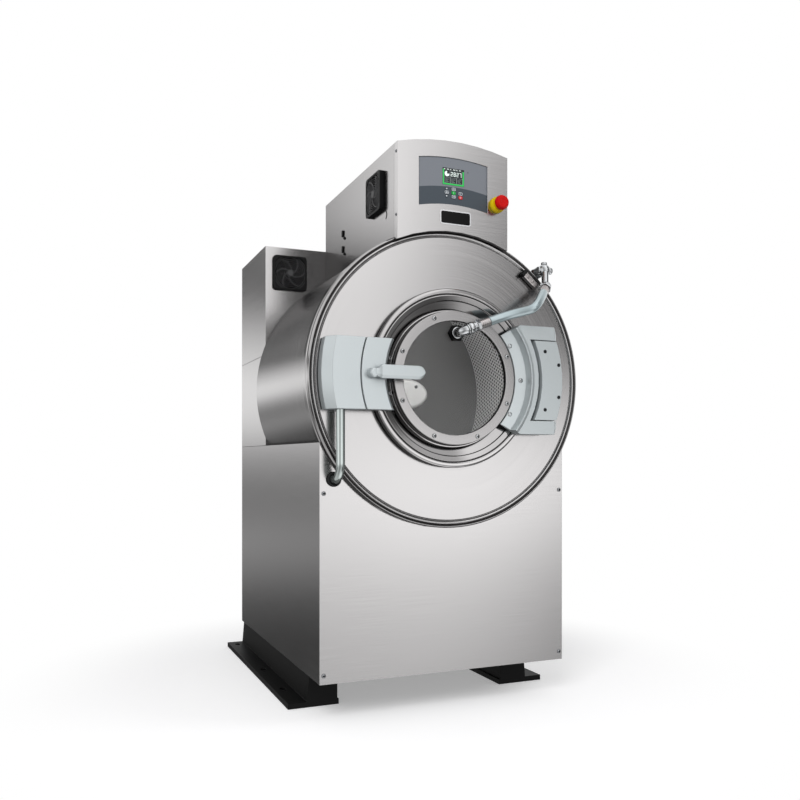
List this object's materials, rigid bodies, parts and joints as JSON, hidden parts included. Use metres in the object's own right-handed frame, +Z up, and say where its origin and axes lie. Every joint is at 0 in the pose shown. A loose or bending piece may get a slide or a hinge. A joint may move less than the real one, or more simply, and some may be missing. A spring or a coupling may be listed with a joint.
{
  "type": "industrial washing machine",
  "caption": "Hardmount washer-extractor with a round glass door, perforated basket, top control box, drive box and anchor rails.",
  "frame": {"origin": "on the floor, under the middle of the whole machine", "axes": "+Z up, -Y towards the person at the door, +X to that person's right"},
  "size_m": [0.882, 1.2499, 1.6825],
  "materials": {
    "stainless": "brushed",
    "black_steel": "satin",
    "casting_paint": "satin",
    "bright_metal": "polished",
    "rubber": "matte",
    "cast_iron": "rough",
    "clear_glass": "polished",
    "black_plastic": "matte",
    "grey_overlay": "satin",
    "screen": "gloss",
    "key_grey": "matte",
    "key_green": "matte",
    "key_red": "matte",
    "yellow_plastic": "satin",
    "red_plastic": "satin",
    "hose_cover": "satin",
    "motor_paint": "satin"
  },
  "bodies": {
    "machine": {"base_frame": "black_steel", "front_panel": "stainless", "side_panel_left": "stainless", "side_panel_right": "stainless", "rear_panel": "stainless", "rear_housing_lower": "stainless", "rear_housing_upper": "stainless", "outer_tub": "stainless", "front_head": "stainless", "rim_band": "stainless", "control_box": "stainless", "control_front": "stainless", "door_gasket": "rubber", "conduit_grommet": "rubber", "drive_belt": "rubber", "drain_valve": "black_plastic", "inlet_valves": "black_plastic", "control_fan_guard": "black_plastic", "rear_fan_guard": "black_plastic", "bearing_housing": "cast_iron", "front_bearing": "bright_metal", "rear_bearing": "bright_metal", "hinge_pin": "bright_metal", "spray_supply_pipe": "bright_metal", "spray_bracket": "bright_metal", "motor": "motor_paint", "lock_housing": "casting_paint", "hinge_block": "casting_paint", "lock_conduit": "hose_cover", "spray_hose": "hose_cover", "keypad_overlay": "grey_overlay", "display_window": "screen", "estop_base": "yellow_plastic"},
    "basket": {"basket_drum": "stainless", "basket_spider": "stainless", "lifter_1": "stainless", "lifter_2": "stainless", "lifter_3": "stainless", "drum_shaft": "bright_metal", "drum_pulley": "cast_iron"},
    "motor_pulley": {"motor_pulley": "cast_iron"},
    "door": {"door_pan": "stainless", "door_glass": "clear_glass", "door_clamp_ring": "stainless", "latch_cover": "casting_paint", "hinge_arm": "casting_paint", "spray_fitting": "bright_metal"},
    "door_handle": {"door_handle": "casting_paint", "latch_cam": "bright_metal"},
    "estop_button": {"estop_button": "red_plastic"},
    "control_fan_rotor": {"control_fan_rotor": "black_plastic"},
    "rear_fan_rotor": {"rear_fan_rotor": "black_plastic"},
    "key_up": {"key_up": "key_grey"},
    "key_ok": {"key_ok": "key_grey"},
    "key_down": {"key_down": "key_grey"},
    "key_menu": {"key_menu": "key_grey"},
    "key_start": {"key_start": "key_green"},
    "key_back": {"key_back": "key_grey"},
    "key_info": {"key_info": "key_grey"},
    "key_stop": {"key_stop": "key_red"}
  },
  "joints": [
    {"name": "drum_spin", "type": "hinge", "parent": "machine", "child": "basket", "pos_m": [0, 0.09, 0.986], "axis": [0, 1, 0], "continuous": true},
    {"name": "motor_spin", "type": "hinge", "parent": "machine", "child": "motor_pulley", "pos_m": [0.11, 0.4, 0.253], "axis": [0, 1, 0], "continuous": true},
    {"name": "door_swing", "type": "hinge", "parent": "machine", "child": "door", "pos_m": [0.31005, -0.545, 0.986], "axis": [0, 0, 1], "range_deg": [0, 110], "deforming": ["spray_hose"]},
    {"name": "handle_turn", "type": "hinge", "parent": "door", "child": "door_handle", "pos_m": [-0.27605, -0.595, 0.986], "axis": [0, -1, 0], "range_deg": [0, 90]},
    {"name": "estop_press", "type": "slide", "parent": "machine", "child": "estop_button", "axis": [0, 1, 0], "range_m": [0, 0.008]},
    {"name": "key_up_press", "type": "slide", "parent": "machine", "child": "key_up", "axis": [0, 1, 0], "range_m": [0, 0.001], "stiffness_N_per_m": 200},
    {"name": "key_ok_press", "type": "slide", "parent": "machine", "child": "key_ok", "axis": [0, 1, 0], "range_m": [0, 0.001], "stiffness_N_per_m": 200},
    {"name": "key_down_press", "type": "slide", "parent": "machine", "child": "key_down", "axis": [0, 1, 0], "range_m": [0, 0.001], "stiffness_N_per_m": 200},
    {"name": "key_menu_press", "type": "slide", "parent": "machine", "child": "key_menu", "axis": [0, 1, 0], "range_m": [0, 0.001], "stiffness_N_per_m": 200},
    {"name": "key_start_press", "type": "slide", "parent": "machine", "child": "key_start", "axis": [0, 1, 0], "range_m": [0, 0.001], "stiffness_N_per_m": 200},
    {"name": "key_back_press", "type": "slide", "parent": "machine", "child": "key_back", "axis": [0, 1, 0], "range_m": [0, 0.001], "stiffness_N_per_m": 200},
    {"name": "key_info_press", "type": "slide", "parent": "machine", "child": "key_info", "axis": [0, 1, 0], "range_m": [0, 0.001], "stiffness_N_per_m": 200},
    {"name": "key_stop_press", "type": "slide", "parent": "machine", "child": "key_stop", "axis": [0, 1, 0], "range_m": [0, 0.001], "stiffness_N_per_m": 200},
    {"name": "control_fan_spin", "type": "hinge", "parent": "machine", "child": "control_fan_rotor", "pos_m": [-0.1705, -0.359, 1.55], "axis": [1, 0, 0], "continuous": true},
    {"name": "rear_fan_spin", "type": "hinge", "parent": "machine", "child": "rear_fan_rotor", "pos_m": [-0.314, 0.161, 1.40406], "axis": [0, 1, 0], "continuous": true}
  ],
  "couplings": [
    {"joint": "motor_spin", "follows": "drum_spin", "ratio": 5.4}
  ]
}
